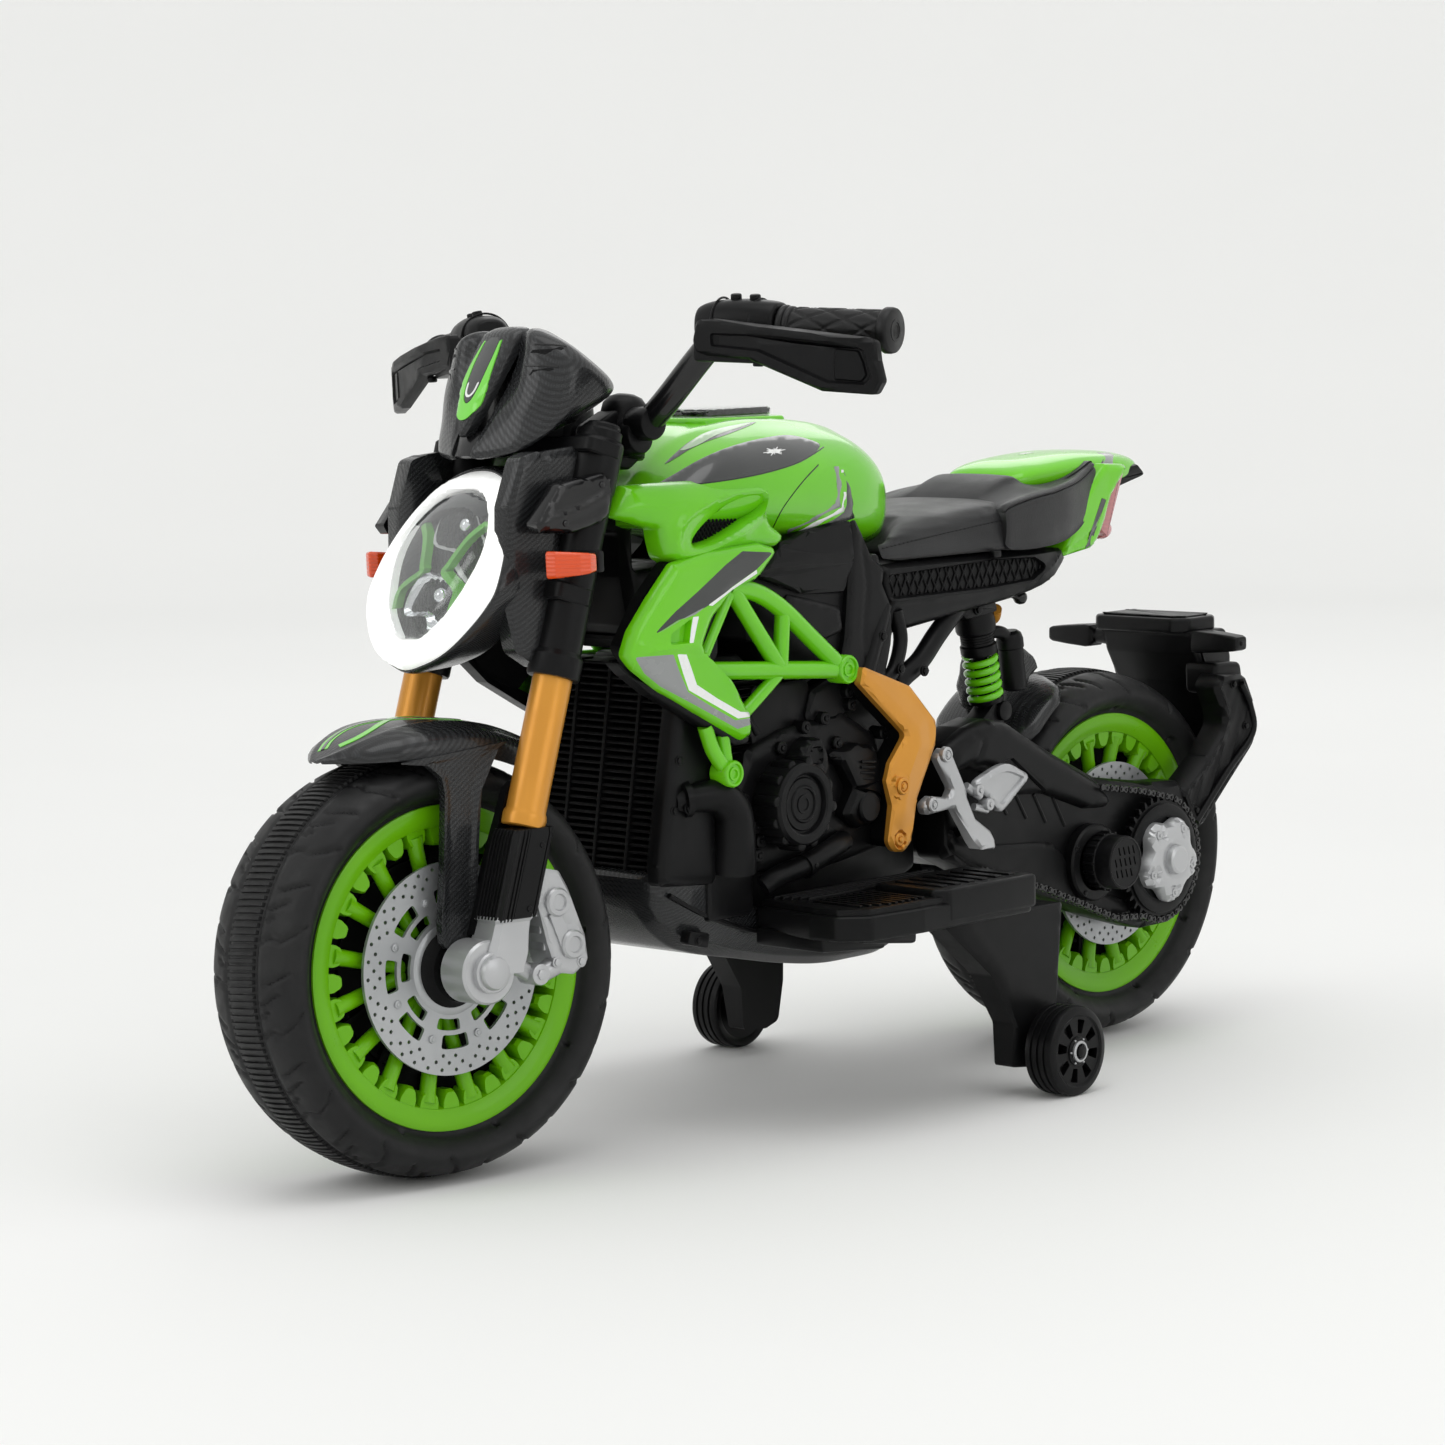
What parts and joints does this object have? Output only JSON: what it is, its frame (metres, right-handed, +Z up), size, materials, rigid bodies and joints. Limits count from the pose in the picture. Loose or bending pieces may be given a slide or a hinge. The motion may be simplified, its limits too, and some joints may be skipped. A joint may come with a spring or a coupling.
{
  "type": "child's ride-on motorcycle",
  "caption": "Battery ride-on motorcycle for a small child, in naked sport-bike style, with steerable fork, spoked wheels, padded seat, footboards and stabiliser wheels.",
  "frame": {"origin": "on the ground under the rear axle, on the bike's centre plane, at the middle of the rear tyre's lowest flat", "axes": "+X forwards, +Y to the rider's left, +Z up"},
  "size_m": [1.1126, 0.5644, 0.6537],
  "materials": {
    "tyre_rubber": "matt moulded rubber with tread",
    "stabiliser_plastic": "satin moulded plastic",
    "green_rim": "gloss apple green",
    "disc_silver": "satin silver paint",
    "silver_paint": "satin silver paint",
    "gold_paint": "satin gold paint",
    "green_paint": "high gloss apple green",
    "black_satin": "fine satin black",
    "carbon_gloss": "gloss black with a carbon weave print",
    "grip_rubber": "soft diamond-textured rubber",
    "seat_leather": "fine-grained black with stitched seams",
    "clear_lens": "clear polished",
    "amber_lens": "translucent amber",
    "red_lens": "translucent red"
  },
  "bodies": {
    "chassis": {"main_frame": "black_satin", "engine_block": "black_satin", "battery": "black_satin", "radiator": "black_satin", "belly_pan": "carbon_gloss", "tank_cover": "green_paint", "tank_display": "clear_lens", "side_fairing_left": "green_paint", "side_fairing_right": "green_paint", "trellis_frame_left": "green_paint", "trellis_frame_right": "green_paint", "pivot_plate_left": "gold_paint", "pivot_plate_right": "gold_paint", "footpeg_left": "silver_paint", "footpeg_right": "silver_paint", "seat_base": "black_satin", "seat_cushion": "seat_leather", "tail_cowl": "green_paint", "tail_light": "red_lens", "swingarm_left": "black_satin", "swingarm_right": "black_satin", "rear_axle": "silver_paint", "sprocket_cover": "silver_paint", "gear_motor": "black_satin", "shock_absorber": "green_paint", "rear_hugger": "carbon_gloss", "plate_holder": "black_satin", "footboard_left": "black_satin", "footboard_right": "black_satin", "stabiliser_bracket_left": "black_satin", "stabiliser_bracket_right": "black_satin"},
    "steering": {"steering_stem": "black_satin", "fork_tube_left": "gold_paint", "fork_tube_right": "gold_paint", "fork_leg_left": "black_satin", "fork_leg_right": "black_satin", "axle_carrier_left": "silver_paint", "axle_carrier_right": "silver_paint", "front_axle": "silver_paint", "front_fender": "carbon_gloss", "headlight_housing": "carbon_gloss", "headlight_lens": "clear_lens", "cowl": "carbon_gloss", "handlebar": "black_satin", "grip_left": "grip_rubber", "grip_right": "grip_rubber", "hand_control_left": "black_satin", "hand_control_right": "black_satin", "front_signal_left": "amber_lens", "front_signal_right": "amber_lens"},
    "front_wheel": {"front_tyre": "tyre_rubber", "front_rim": "green_rim", "front_disc_left": "disc_silver", "front_disc_right": "disc_silver"},
    "rear_wheel": {"rear_tyre": "tyre_rubber", "rear_rim": "green_rim", "rear_disc": "disc_silver"},
    "stabiliser_left": {"stabiliser_wheel_left": "stabiliser_plastic"},
    "stabiliser_right": {"stabiliser_wheel_right": "stabiliser_plastic"},
    "pedal": {"accelerator_pedal": "black_satin"}
  },
  "joints": [
    {"name": "steer", "type": "hinge", "parent": "chassis", "child": "steering", "pos_m": [0.7546, 0, 0.16], "axis": [-0.3074, 0, 0.9516], "range_deg": [-10.1, 25.9]},
    {"name": "front_wheel_spin", "type": "hinge", "parent": "steering", "child": "front_wheel", "pos_m": [0.79267, -0.00502, 0.15989], "axis": [0.1308, 0.9905, 0.0422], "continuous": true},
    {"name": "rear_wheel_spin", "type": "hinge", "parent": "chassis", "child": "rear_wheel", "pos_m": [0, 0, 0.16], "axis": [0, 1, 0], "continuous": true},
    {"name": "stabiliser_left_spin", "type": "hinge", "parent": "chassis", "child": "stabiliser_left", "pos_m": [0.246, 0.1835, 0.037], "axis": [0, 1, 0], "continuous": true},
    {"name": "stabiliser_right_spin", "type": "hinge", "parent": "chassis", "child": "stabiliser_right", "pos_m": [0.246, -0.1835, 0.037], "axis": [0, 1, 0], "continuous": true},
    {"name": "pedal_press", "type": "hinge", "parent": "chassis", "child": "pedal", "pos_m": [0.382, -0.152, 0.19], "axis": [0, 1, 0], "range_deg": [0, 7], "stiffness_Nm_per_rad": 3, "springref_deg": -5.73}
  ]
}
